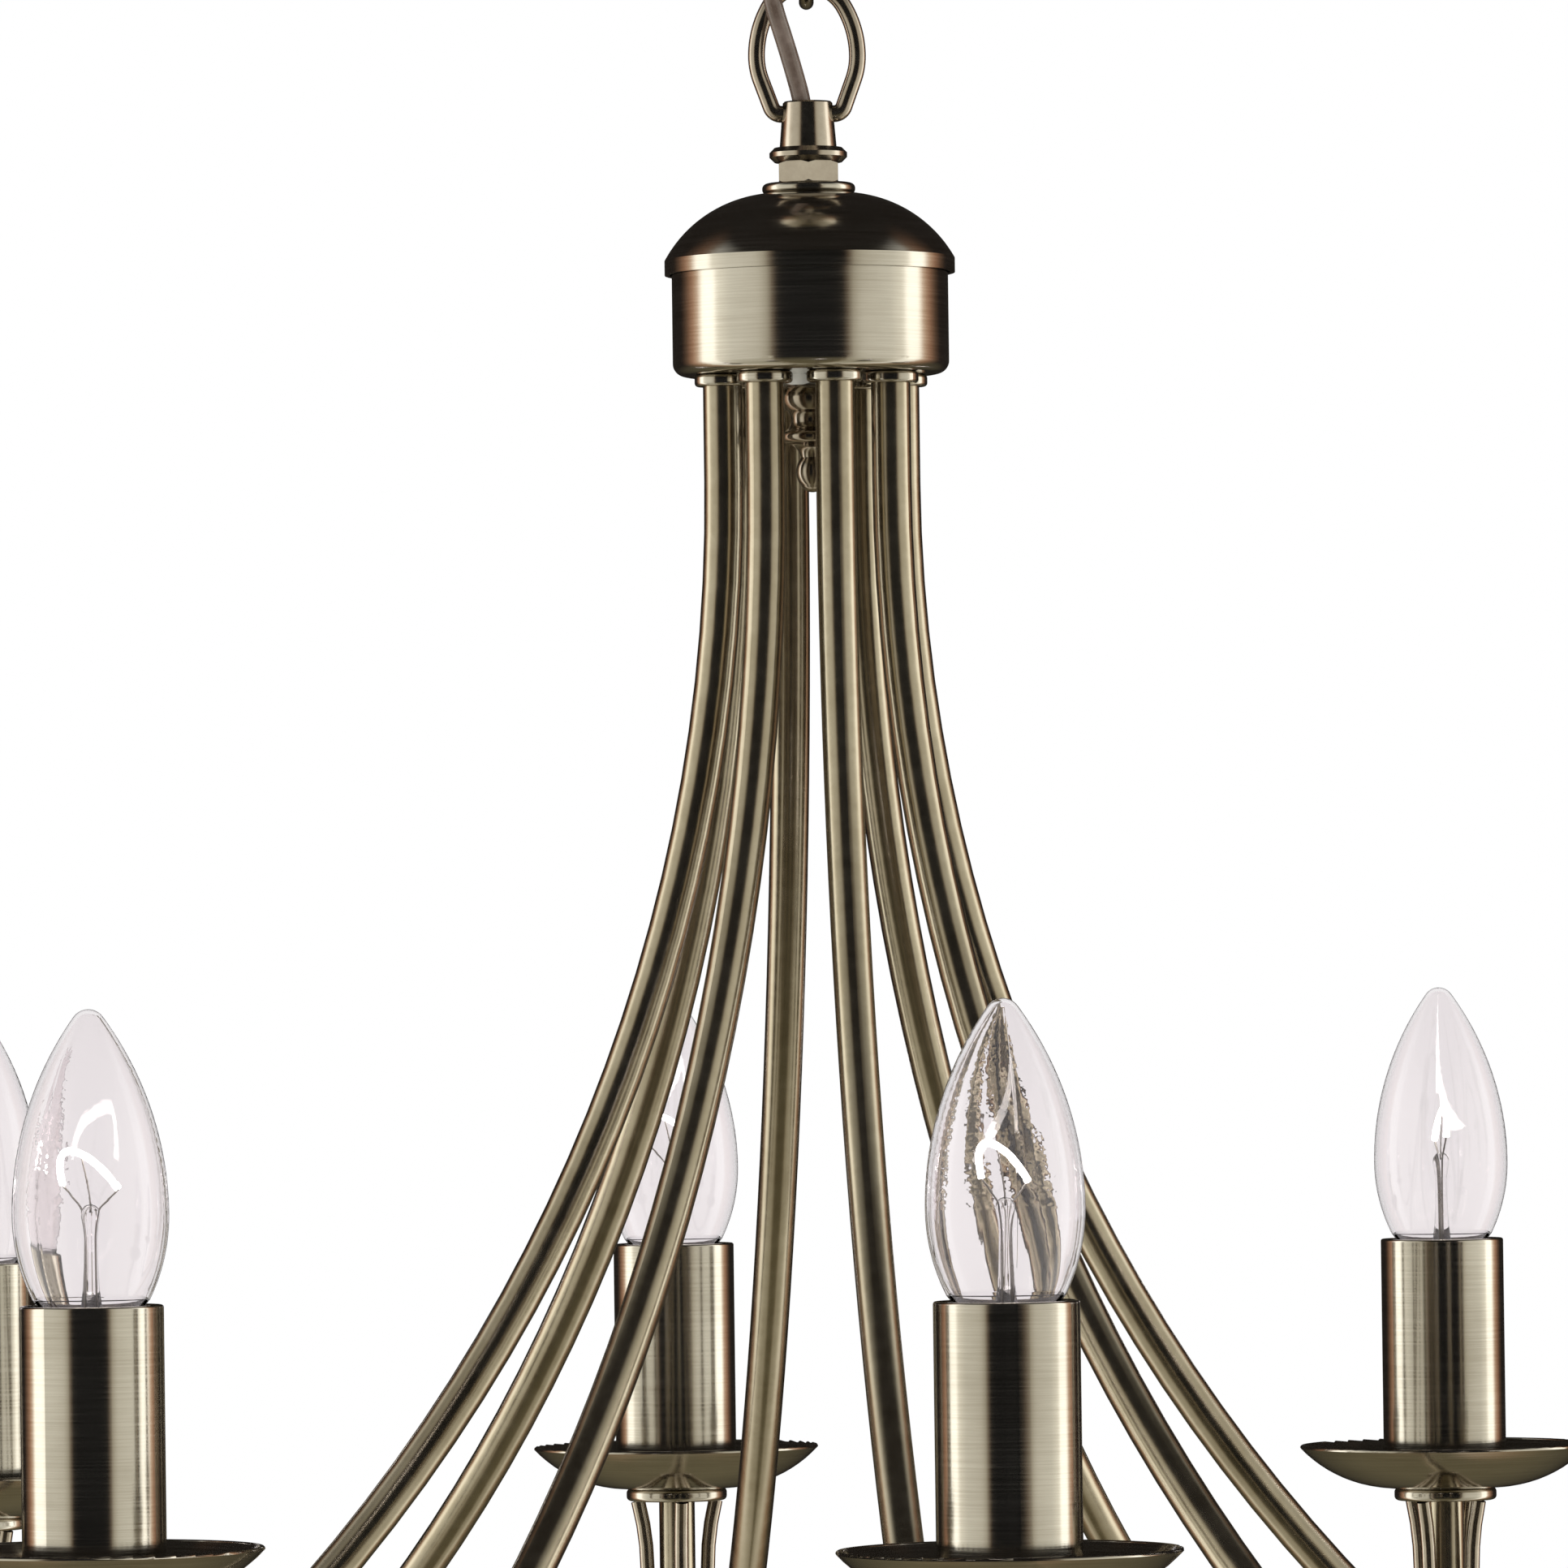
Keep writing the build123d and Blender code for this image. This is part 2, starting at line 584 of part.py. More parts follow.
CAGE_LOW = PLATE_BOTTOM - CAGE_LENGTH
CAGE_FOOT_RADIUS = TUBE_RADIUS + CAGE_ROD_RADIUS + 0.1
with BuildPart() as cage_rods_one:
    flare = CAGE_TOP_RADIUS - CAGE_WAIST_RADIUS
    flare_angle = 2 * degrees(atan(flare / 18))
    flare_radius = 18 / sin(radians(flare_angle))
    with BuildLine(LAMP_PLANE) as rod_line:
        inwards = (-sin(radians(flare_angle)), -cos(radians(flare_angle)))
        top_arc = JernArc((CAGE_TOP_RADIUS, PLATE_BOTTOM), inwards, flare_radius, flare_angle)
        Line(top_arc @ 1, (CAGE_FOOT_RADIUS, CAGE_LOW))
    with BuildSketch(Plane(origin=rod_line.line @ 0, z_dir=-(rod_line.line % 0))):
        Circle(CAGE_ROD_RADIUS)
    sweep(transition=Transition.ROUND)
    with BuildSketch(lamp_floor(PLATE_BOTTOM), lamp_floor(CAGE_LOW - 6)):
        Circle(30)
    extrude(amount=6, mode=Mode.SUBTRACT)
with BuildPart() as cage_rods_lamp:
    lamp_axis = Axis((LAMP_X, LAMP_Y, 0), (0, 0, 1))
    for quarter in range(4):
        add(cage_rods_one.part.rotate(lamp_axis, 90 * quarter))
write(all_round(cage_rods_lamp), "cage_rods")

with BuildPart() as cage_collar:
    with BuildSketch(lamp_floor(CAGE_LOW - CAGE_COLLAR_LENGTH)):
        Circle(CAGE_COLLAR_RADIUS)
        Circle(TUBE_RADIUS + 0.02, mode=Mode.SUBTRACT)
    extrude(amount=CAGE_COLLAR_LENGTH)
    fillet(circles(cage_collar, CAGE_COLLAR_RADIUS), 1.4)
write(all_round(cage_collar), "cage_collars")

with BuildPart() as drip_dish:
    dish_low = DISH_BOTTOM
    dish_high = DISH_BOTTOM + DISH_DEPTH
    flat_radius = PLATE_RADIUS
    lip_in = (DISH_RADIUS - 1.2, dish_high - 0.3)
    lip_out = (DISH_RADIUS, dish_high - 0.7)
    with BuildSketch(LAMP_PLANE):
        with BuildLine():
            Line((NIPPLE_RADIUS + 0.1, dish_low), (flat_radius, dish_low))
            TangentArc((flat_radius, dish_low), lip_out, tangent=(1, 0))
            ThreePointArc(lip_out, (DISH_RADIUS - 0.3, dish_high), lip_in)
            TangentArc((flat_radius, dish_low + DISH_WALL), lip_in, tangent=(1, 0))
            Line((flat_radius, dish_low + DISH_WALL), (NIPPLE_RADIUS + 0.1, dish_low + DISH_WALL))
            Line((NIPPLE_RADIUS + 0.1, dish_low + DISH_WALL), (NIPPLE_RADIUS + 0.1, dish_low))
        make_face()
    revolve(axis=Axis((LAMP_X, LAMP_Y, 0), (0, 0, 1)))
write(all_round(drip_dish), "drip_dishes")

# threaded tube that joins arm end, plate, dish and lampholder
with BuildPart() as holder_nipple:
    with BuildSketch(lamp_floor(PLATE_BOTTOM)):
        Circle(NIPPLE_RADIUS)
        Circle(NIPPLE_BORE, mode=Mode.SUBTRACT)
    extrude(amount=PLATE_THICK + 1.0 + 8.0)
write(all_round(holder_nipple), "holder_nipples")

with BuildPart() as holder_nut:
    nut_floor = DISH_BOTTOM + DISH_WALL
    with BuildSketch(lamp_floor(nut_floor)):
        RegularPolygon(8.0, 6, major_radius=False)
        Circle(NIPPLE_RADIUS + 0.02, mode=Mode.SUBTRACT)
    extrude(amount=2.4)
write(all_round(holder_nut), "holder_nuts")

with BuildPart() as lampholder:
    holder_low = HOLDER_TOP - HOLDER_LENGTH
    with BuildSketch(LAMP_PLANE):
        with BuildLine():
            Polyline(
                (NIPPLE_RADIUS + 0.02, holder_low),
                (8.6, holder_low),
                (9.4, holder_low + 1),
                (9.4, holder_low + 14),
                (HOLDER_RADIUS - 0.6, holder_low + 17),
                (HOLDER_RADIUS - 0.6, HOLDER_TOP - 13),
                (HOLDER_RADIUS, HOLDER_TOP - 12.4),
                (HOLDER_RADIUS, HOLDER_TOP - 0.8),
                (HOLDER_RADIUS - 0.8, HOLDER_TOP),
                (SOCKET_RADIUS, HOLDER_TOP),
                (SOCKET_RADIUS, HOLDER_TOP - SOCKET_DEPTH),
                (2.2, HOLDER_TOP - SOCKET_DEPTH),
                (2.2, holder_low + 10),
                (NIPPLE_RADIUS + 0.02, holder_low + 10),
                close=True,
            )
        make_face()
    revolve(axis=Axis((LAMP_X, LAMP_Y, 0), (0, 0, 1)))
write(all_round(lampholder), "lampholders")

with BuildPart() as candle_sleeve:
    sleeve_low = SLEEVE_TOP - SLEEVE_LENGTH
    with BuildSketch(lamp_floor(sleeve_low)):
        Circle(SLEEVE_RADIUS)
        Circle(SLEEVE_RADIUS - SLEEVE_WALL, mode=Mode.SUBTRACT)
    extrude(amount=SLEEVE_LENGTH)
    mouth_edge = circles(candle_sleeve, SLEEVE_RADIUS).sort_by(Axis.Z)[-1]
    fillet(mouth_edge, 0.6)
write(all_round(candle_sleeve), "candle_sleeves")

# pair of wires inside each arm, drawn as one round bundle
with BuildPart() as arm_wire:
    with BuildLine(ARM_PLANE):
        wire_top = CUP_FLOOR + ARM_PLATE_THICK + 7
        down = Line((0, wire_top), (0, ARC_START))
        long_arc = JernArc(down @ 1, (0, -1), ARM_ARC, BEND_START_ANGLE)
        bend = JernArc(long_arc @ 1, long_arc % 1, ARM_BEND, 180 - BEND_START_ANGLE)
        Line(bend @ 1, (ARM_REACH, PLATE_BOTTOM + 10))
    with BuildSketch(hole_floor(wire_top)):
        Circle(1.5)
    sweep()
write(all_round(arm_wire), "arm_wires")

# ---- bulbs ----
BULB_RADIUS = 17.4
BULB_FLANK = 75.0
BULB_SHOULDER = 42.3
BULB_SHOULDER_ANGLE = 26.4
BULB_EQUATOR = BULB_TIP - 45.5
NECK_LOW = HOLDER_TOP + 1.0
# the tip's arc is centred on the axis and meets the flank's arc in line
flank_in = BULB_FLANK - BULB_RADIUS
tip_run = BULB_TIP - BULB_EQUATOR
TIP_RADIUS = (flank_in**2 + tip_run**2 - BULB_FLANK**2) / (2 * tip_run - 2 * BULB_FLANK)
FLANK_ANGLE = degrees(atan((tip_run - TIP_RADIUS) / flank_in))


def bulb_side(inset):
    """The bulb's side as three tangent arcs, from the tip's middle to the top of the neck."""
    start = (BULB_RADIUS - inset, BULB_EQUATOR)
    flank = JernArc(start, (0, 1), BULB_FLANK - inset, FLANK_ANGLE)
    tip = JernArc(flank @ 1, flank % 1, TIP_RADIUS - inset, 90 - FLANK_ANGLE)
    shoulder = JernArc(start, (0, -1), BULB_SHOULDER - inset, -BULB_SHOULDER_ANGLE)
    return tip @ 1, shoulder @ 1


with BuildPart() as bulb_glass:
    with BuildSketch(LAMP_PLANE):
        with BuildLine():
            tip_outside, neck_outside = bulb_side(0)
            tip_inside, neck_inside = bulb_side(GLASS_WALL)
            Polyline(
                neck_outside,
                (8.0, NECK_LOW + 4),
                (6.6, NECK_LOW),
                (5.7, NECK_LOW),
                (7.0, NECK_LOW + 4),
                neck_inside,
            )
            Line(tip_inside, tip_outside)
        make_face()
    revolve(axis=Axis((LAMP_X, LAMP_Y, 0), (0, 0, 1)))
for index in range(ARM_COUNT):
    write(turned(bulb_glass, index), f"bulb_glass_{index + 1}")

# screw cap with its contact, and the glass stem that stands in the neck
with BuildPart() as bulb_base:
    cap_top = HOLDER_TOP + 0.9
    cap_low = cap_top - CAP_LENGTH
    with BuildSketch(LAMP_PLANE):
        with BuildLine():
            Polyline(
                (0, cap_low - 1.6),
                (2.4, cap_low - 1.6),
                (3.0, cap_low),
                (5.6, cap_low + 1.5),
                (CAP_RADIUS, cap_low + 3),
                (CAP_RADIUS, cap_top),
                (4.2, cap_top),
                (3.4, cap_top + 4),
                (1.6, cap_top + 18),
                (1.6, cap_top + 31),
                (0, cap_top + 31.6),
                close=True,
            )
        make_face()
    revolve(axis=Axis((LAMP_X, LAMP_Y, 0), (0, 0, 1)))
for index in range(ARM_COUNT):
    write(turned(bulb_base, index), f"bulb_base_{index + 1}")

# ---- flex: out of the body's collar, up beside and through the chain, into the ceiling collar ----
RING_LOW = LOWER_RING_END
MID_CHAIN = (LINK_TOPS[1] + LINK_TOPS[1] - LINK_LENGTH) / 2
half_route = [
    (0.0, 0.0, LOWER_PIVOT - 22),
    (0.0, 0.0, LOWER_PIVOT - 2),
    (-4.2, -3.0, LOWER_PIVOT + 14),
    (-9.0, -6.4, LOWER_PIVOT + 29),
    (-9.6, -7.4, LOWER_PIVOT + 43),
    (-5.4, -6.0, MID_CHAIN - 14),
]
FLEX_ROUTE = half_route + [
    (x, -y, 2 * MID_CHAIN - z) for x, y, z in reversed(half_route)
]


def route_radii(points):
    """The radius of the arc at each inner point of a route."""
    radii = []
    for before, here, after in zip(points, points[1:], points[2:]):
        run_in = Vector(*here) - Vector(*before)
        run_out = Vector(*after) - Vector(*here)
        turn = radians(run_in.get_angle(run_out))
        shorter = min(run_in.length, run_out.length)
        radii.append(0.45 * shorter / tan(turn / 2))
    return radii


FLEX_RADII = route_radii(FLEX_ROUTE)
with BuildPart() as flex:
    with BuildLine() as flex_line:
        FilletPolyline(*FLEX_ROUTE, radius=FLEX_RADII)
    with BuildSketch(Plane(origin=FLEX_ROUTE[0], z_dir=(0, 0, 1))):
        Circle(FLEX_RADIUS)
    sweep()
write(flex, "flex")
flex_length = sum(edge.length for edge in flex_line.edges())
print("flex arc radii", [round(value, 1) for value in FLEX_RADII])
print("flex length", round(flex_length, 1), "volume", round(flex.part.volume))
print("section times length", round(pi * FLEX_RADIUS**2 * flex_length))
print("pivots", UPPER_PIVOT, UPPER_RING_END, LINK_TOPS, LOWER_RING_END, LOWER_PIVOT)
print("sleeve top", SLEEVE_TOP, "plate bottom", PLATE_BOTTOM, "bend centre", BEND_CENTRE)
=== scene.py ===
"""The multi arm chandelier as it looks: metal finishes, clear candle bulbs, flex, studio and camera."""

from math import cos, pi, radians, sin

import bmesh
import bpy
from mathutils import Matrix, Vector


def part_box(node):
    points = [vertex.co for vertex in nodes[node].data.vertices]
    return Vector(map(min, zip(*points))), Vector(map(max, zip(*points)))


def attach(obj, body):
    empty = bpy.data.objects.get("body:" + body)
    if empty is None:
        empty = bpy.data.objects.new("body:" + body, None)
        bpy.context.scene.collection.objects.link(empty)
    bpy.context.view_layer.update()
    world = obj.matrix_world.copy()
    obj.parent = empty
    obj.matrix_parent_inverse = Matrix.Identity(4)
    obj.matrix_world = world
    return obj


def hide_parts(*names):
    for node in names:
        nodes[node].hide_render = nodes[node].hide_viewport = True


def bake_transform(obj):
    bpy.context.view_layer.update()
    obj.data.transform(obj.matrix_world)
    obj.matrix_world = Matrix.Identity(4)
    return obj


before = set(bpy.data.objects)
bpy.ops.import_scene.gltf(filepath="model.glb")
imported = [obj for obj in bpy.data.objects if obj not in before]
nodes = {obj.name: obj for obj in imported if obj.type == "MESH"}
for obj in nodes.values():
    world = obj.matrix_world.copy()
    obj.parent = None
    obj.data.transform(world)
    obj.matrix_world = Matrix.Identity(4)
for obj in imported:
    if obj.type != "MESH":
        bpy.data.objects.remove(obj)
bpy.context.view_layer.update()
MM = 0.001
LAMPS = range(1, 9)


# ---- camera: about level with the bulbs' tips, on the first lamp's side, looking slightly up ----
CAMERA_PLACE = (0, -2.614, -0.4093)
CAMERA_YAW = 0.172
CAMERA_PITCH = 91.0
CAMERA_ROLL = -0.75
CAMERA_LENS = 248.6
camera_data = bpy.data.cameras.new("camera")
camera_data.lens = CAMERA_LENS
camera_data.sensor_width = 36
camera_data.clip_end = 100
camera = bpy.data.objects.new("camera", camera_data)
bpy.context.scene.collection.objects.link(camera)
camera.matrix_world = (
    Matrix.Translation(CAMERA_PLACE)
    @ Matrix.Rotation(radians(CAMERA_YAW), 4, "Z")
    @ Matrix.Rotation(radians(CAMERA_PITCH), 4, "X")
    @ Matrix.Rotation(radians(CAMERA_ROLL), 4, "Z")
)
bpy.context.scene.camera = camera
bpy.context.scene.view_settings.view_transform = "Standard"


# ---- small helpers for node trees ----
class Tree:
    """A node tree under construction."""

    def __init__(self, tree):
        self.nodes = tree.nodes
        self.links = tree.links

    def add(self, kind, **settings):
        node = self.nodes.new(kind)
        for name, value in settings.items():
            setattr(node, name, value)
        return node

    def join(self, source, target):
        self.links.new(source, target)

    def math(self, operation, first, second=None):
        node = self.add("ShaderNodeMath", operation=operation)
        for socket, value in zip(node.inputs, (first, second)):
            if value is None:
                continue
            if isinstance(value, (int, float)):
                socket.default_value = value
            else:
                self.join(value, socket)
        return node.outputs[0]

    def noise(self, vector, scale, detail, rough=0.5):
        node = self.add("ShaderNodeTexNoise")
        node.inputs["Scale"].default_value = scale
        node.inputs["Detail"].default_value = detail
        node.inputs["Roughness"].default_value = rough
        self.join(vector, node.inputs["Vector"])
        return node.outputs[0]

    def stretched(self, scale):
        coordinates = self.add("ShaderNodeTexCoord")
        mapping = self.add("ShaderNodeMapping")
        mapping.inputs["Scale"].default_value = scale
        self.join(coordinates.outputs["Object"], mapping.inputs["Vector"])
        return mapping.outputs[0]

    def ranged(self, value, low, high, to_low, to_high):
        node = self.add("ShaderNodeMapRange")
        limits = {"From Min": low, "From Max": high, "To Min": to_low, "To Max": to_high}
        for name, number in limits.items():
            node.inputs[name].default_value = number
        self.join(value, node.inputs["Value"])
        return node.outputs[0]

    def ramp(self, value, stops):
        node = self.add("ShaderNodeValToRGB")
        elements = node.color_ramp.elements
        for element, (position, colour) in ((elements[0], stops[0]), (elements[1], stops[-1])):
            element.position = position
            element.color = (*colour, 1)
        for position, colour in stops[1:-1]:
            elements.new(position).color = (*colour, 1)
        self.join(value, node.inputs[0])
        return node.outputs[0]

    def mixed(self, factor, first, second):
        node = self.add("ShaderNodeMix", data_type="RGBA")
        sockets = (node.inputs[0], node.inputs[6], node.inputs[7])
        for socket, value in zip(sockets, (factor, first, second)):
            if isinstance(value, tuple):
                socket.default_value = (*value, 1)
            else:
                self.join(value, socket)
        return node.outputs[2]

    def bump(self, height, strength, distance):
        node = self.add("ShaderNodeBump")
        node.inputs["Strength"].default_value = strength
        node.inputs["Distance"].default_value = distance
        self.join(height, node.inputs["Height"])
        return node.outputs[0]


def new_material(name):
    """A material with its tree and its Principled shader."""
    material = bpy.data.materials.new(name)
    material.use_nodes = True
    return material, Tree(material.node_tree), material.node_tree.nodes["Principled BSDF"]


def metal(name, dark, light, rough, streaks, streak_scale, bump, anisotropy=0.0):
    """A lacquered metal: cloudy tone, fine brushing along one direction, and a slight relief."""
    material, tree, shader = new_material(name)
    plain = tree.stretched((1, 1, 1))
    cloud = tree.noise(plain, 34, 4, 0.55)
    line = tree.noise(tree.stretched(streaks), streak_scale, 3, 0.65)
    tone = tree.math("ADD", tree.math("MULTIPLY", cloud, 0.55), tree.math("MULTIPLY", line, 0.45))
    colour = tree.ramp(tone, [(0.36, dark), (0.64, light)])
    tree.join(colour, shader.inputs["Base Color"])
    tree.join(tree.ranged(line, 0.3, 0.7, rough[0], rough[1]), shader.inputs["Roughness"])
    tree.join(tree.bump(line, bump, 0.00012), shader.inputs["Normal"])
    shader.inputs["Metallic"].default_value = 1.0
    shader.inputs["Anisotropic"].default_value = anisotropy
    return material


def plastic(name, dark, light, rough, scale, coat):
    """A moulded or extruded plastic with a faint mottle."""
    material, tree, shader = new_material(name)
    mottle = tree.noise(tree.stretched((1, 1, 1)), scale, 5, 0.6)
    tree.join(tree.ramp(mottle, [(0.35, dark), (0.65, light)]), shader.inputs["Base Color"])
    tree.join(tree.ranged(mottle, 0.3, 0.7, rough[0], rough[1]), shader.inputs["Roughness"])
    tree.join(tree.bump(mottle, 0.12, 0.0001), shader.inputs["Normal"])
    shader.inputs["Coat Weight"].default_value = coat
    shader.inputs["Coat Roughness"].default_value = 0.15
    return material


def clear_glass(name, tint, rough):
    """Blown glass with a faint unevenness of its wall."""
    material, tree, shader = new_material(name)
    wave = tree.noise(tree.stretched((1, 1, 0.45)), 45, 0, 0.4)
    paler = tuple(min(1, part + 0.015) for part in tint)
    tree.join(tree.ramp(wave, [(0.3, tint), (0.7, paler)]), shader.inputs["Base Color"])
    tree.join(tree.bump(wave, 0.03, 0.0006), shader.inputs["Normal"])
    tree.join(tree.ranged(wave, 0.3, 0.7, 0.0, rough), shader.inputs["Roughness"])
    shader.inputs["Transmission Weight"].default_value = 1.0
    shader.inputs["IOR"].default_value = 1.47
    return material


def glowing(name, colour, strength):
    """A coiled filament, lit: brighter and darker turns along the wire."""
    material, tree, shader = new_material(name)
    turns = tree.noise(tree.stretched((1, 1, 1)), 900, 1, 0.4)
    duller = tuple(0.9 * part for part in colour)
    tree.join(tree.ramp(turns, [(0.3, duller), (0.7, colour)]), shader.inputs["Emission Color"])
    shader.inputs["Base Color"].default_value = (0.3, 0.28, 0.25, 1)
    shader.inputs["Emission Strength"].default_value = strength
    return material


MATERIALS = {
    "antique_brass": metal(
        "antique_brass", (0.34, 0.29, 0.235), (0.44, 0.39, 0.32), (0.13, 0.2), (1, 1, 1), 300, 0.02
    ),
    "brushed_brass": metal(
        "brushed_brass", (0.40, 0.365, 0.305), (0.53, 0.495, 0.43), (0.10, 0.17), (1, 1, 62), 38, 0.05, 0.3
    ),
    "satin_brass": metal(
        "satin_brass", (0.335, 0.288, 0.208), (0.42, 0.37, 0.28), (0.19, 0.25), (1, 1, 1), 220, 0.01
    ),
    "zinc_steel": metal(
        "zinc_steel", (0.52, 0.52, 0.52), (0.70, 0.70, 0.69), (0.25, 0.42), (1, 1, 1), 260, 0.2
    ),
    "bulb_cap": metal(
        "bulb_cap", (0.60, 0.58, 0.52), (0.76, 0.74, 0.69), (0.18, 0.30), (1, 1, 6), 90, 0.1
    ),
    "holder_plastic": plastic(
        "holder_plastic", (0.78, 0.76, 0.70), (0.88, 0.87, 0.83), (0.35, 0.5), 90, 0.0
    ),
    "wire_sheath": plastic(
        "wire_sheath", (0.68, 0.66, 0.61), (0.78, 0.77, 0.72), (0.3, 0.45), 150, 0.1
    ),
    "flex_sheath": plastic(
        "flex_sheath", (0.11, 0.075, 0.055), (0.19, 0.14, 0.11), (0.26, 0.4), 240, 0.35
    ),
    "bulb_glass": clear_glass("bulb_glass", (0.912, 0.882, 0.89), 0.02),
}
STEM_GLASS = clear_glass("stem_glass", (0.975, 0.965, 0.97), 0.04)
LEAD_METAL = metal(
    "lead_wire", (0.20, 0.18, 0.16), (0.36, 0.34, 0.31), (0.25, 0.4), (1, 1, 1), 500, 0.1
)
FILAMENT = glowing("filament", (1.0, 0.97, 0.93), 9.0)

for node in nodes.values():
    for place in node.material_slots:
        place.material = MATERIALS[place.material.name.split(".")[0]]


# ---- mesh helpers ----
def add_mesh(name, mesh, material):
    """A smooth-shaded object from a mesh, in the scene."""
    mesh.materials.append(material)
    mesh.polygons.foreach_set("use_smooth", [True] * len(mesh.polygons))
    piece = bpy.data.objects.new(name, mesh)
    bpy.context.scene.collection.objects.link(piece)
    return piece


def lathe(name, profile, centre, sides=40):
    """A closed turned shape: (radius, height) points from the axis at one end to the axis at the other."""
    work = bmesh.new()
    rows = []
    for radius, height in profile:
        if radius == 0:
            rows.append([work.verts.new((centre[0], centre[1], centre[2] + height))])
            continue
        rows.append([
            work.verts.new((
                centre[0] + radius * cos(2 * pi * k / sides),
                centre[1] + radius * sin(2 * pi * k / sides),
                centre[2] + height,
            ))
            for k in range(sides)
        ])
    for low, high in zip(rows, rows[1:]):
        for k in range(sides):
            after = (k + 1) % sides
            corners = [
                low[k % len(low)],
                low[after % len(low)],
                high[after % len(high)],
                high[k % len(high)],
            ]
            unique = list(dict.fromkeys(corners))
            if len(unique) > 2:
                work.faces.new(unique)
    bmesh.ops.recalc_face_normals(work, faces=work.faces)
    mesh = bpy.data.meshes.new(name)
    work.to_mesh(mesh)
    work.free()
    return mesh


def tube(name, line, radius, sides):
    """A round closed tube along a line of points, its rings carried along without twist."""
    work = bmesh.new()
    points = [Vector(p) for p in line]
    side = None
    rings = []
    for index, point in enumerate(points):
        before = points[max(index - 1, 0)]
        after = points[min(index + 1, len(points) - 1)]
        along = (after - before).normalized()
        if side is None:
            side = along.orthogonal().normalized()
        side = (side - along * side.dot(along)).normalized()
        up = along.cross(side)
        rings.append([
            work.verts.new(
                point + radius * (cos(2 * pi * k / sides) * side + sin(2 * pi * k / sides) * up)
            )
            for k in range(sides)
        ])
    for low, high in zip(rings, rings[1:]):
        for k in range(sides):
            after = (k + 1) % sides
            work.faces.new((low[k], low[after], high[after], high[k]))
    work.faces.new(list(reversed(rings[0])))
    work.faces.new(rings[-1])
    bmesh.ops.recalc_face_normals(work, faces=work.faces)
    mesh = bpy.data.meshes.new(name)
    work.to_mesh(mesh)
    work.free()
    return mesh


def nurbs_points(name, route, resolution):
    """Points read from the smooth line that a route's points control."""
    data = bpy.data.curves.new(name, "CURVE")
    data.dimensions = "3D"
    spline = data.splines.new("NURBS")
    spline.points.add(len(route) - 1)
    for point, place in zip(spline.points, route):
        point.co = (*place, 1)
    spline.order_u = 3
    spline.use_endpoint_u = True
    spline.resolution_u = resolution
    holder = bpy.data.objects.new(name, data)
    bpy.context.scene.collection.objects.link(holder)
    mesh = bpy.data.meshes.new_from_object(holder)
    points = [vertex.co.copy() for vertex in mesh.vertices]
    bpy.data.objects.remove(holder)
    bpy.data.meshes.remove(mesh)
    bpy.data.curves.remove(data)
    return points


# ---- lamps: cap, stem, lead wires and filament in each clear bulb ----
SLEEVE_BELOW_TIP = 65.5 * MM
CAP_BELOW_SLEEVE = 9.1 * MM
# degrees about each bulb's axis, as screwed-in bulbs stop at odd angles
FILAMENT_TURN = {1: 40, 2: 12, 3: 65, 4: 100, 5: 20, 6: -35, 7: -8, 8: -20}
FILAMENT_RADIUS = 0.8 * MM
LEAD_RADIUS = 0.22 * MM
PROP_RADIUS = 0.18 * MM
WIRES_LEAVE_STEM = 29.5 * MM


def cap_profile():
    """The rolled screw thread over its contact, from below."""
    low = -22 * MM
    profile = [(0, low - 1.6 * MM), (2.0 * MM, low - 1.5 * MM)]
    profile += [(2.5 * MM, low - 0.6 * MM), (3.2 * MM, low)]
    profile += [(5.2 * MM, low + 1.2 * MM), (5.9 * MM, low + 2.4 * MM)]
    turns = 6
    steps = turns * 8
    for k in range(steps + 1):
        wave = 0.5 - 0.5 * cos(2 * pi * k / 8)
        profile.append(((6.15 + 0.6 * wave) * MM, low + (3.0 + 13.5 * k / steps) * MM))
    profile += [(6.3 * MM, -4.6 * MM), (6.75 * MM, -3.6 * MM), (6.75 * MM, -0.3 * MM), (6.5 * MM, 0)]
    profile.append((0, 0))
    return profile


# the stem's outline, and the filament's line above the sleeve, in millimetres
STEM = [
    (0, 0.2), (4.3, 0.2), (4.2, 1.4), (3.4, 4.6), (2.5, 8.4), (1.9, 12.5), (1.6, 18.0),
    (1.45, 24.0), (1.7, 26.6), (2.1, 28.6), (2.0, 30.2), (1.2, 31.2), (0, 31.5),
]
ARCH = [(-6.6, 26.6), (-7.7, 30.6), (-6.4, 34.4), (-2.2, 33.8), (3.2, 30.2), (6.8, 25.7)]

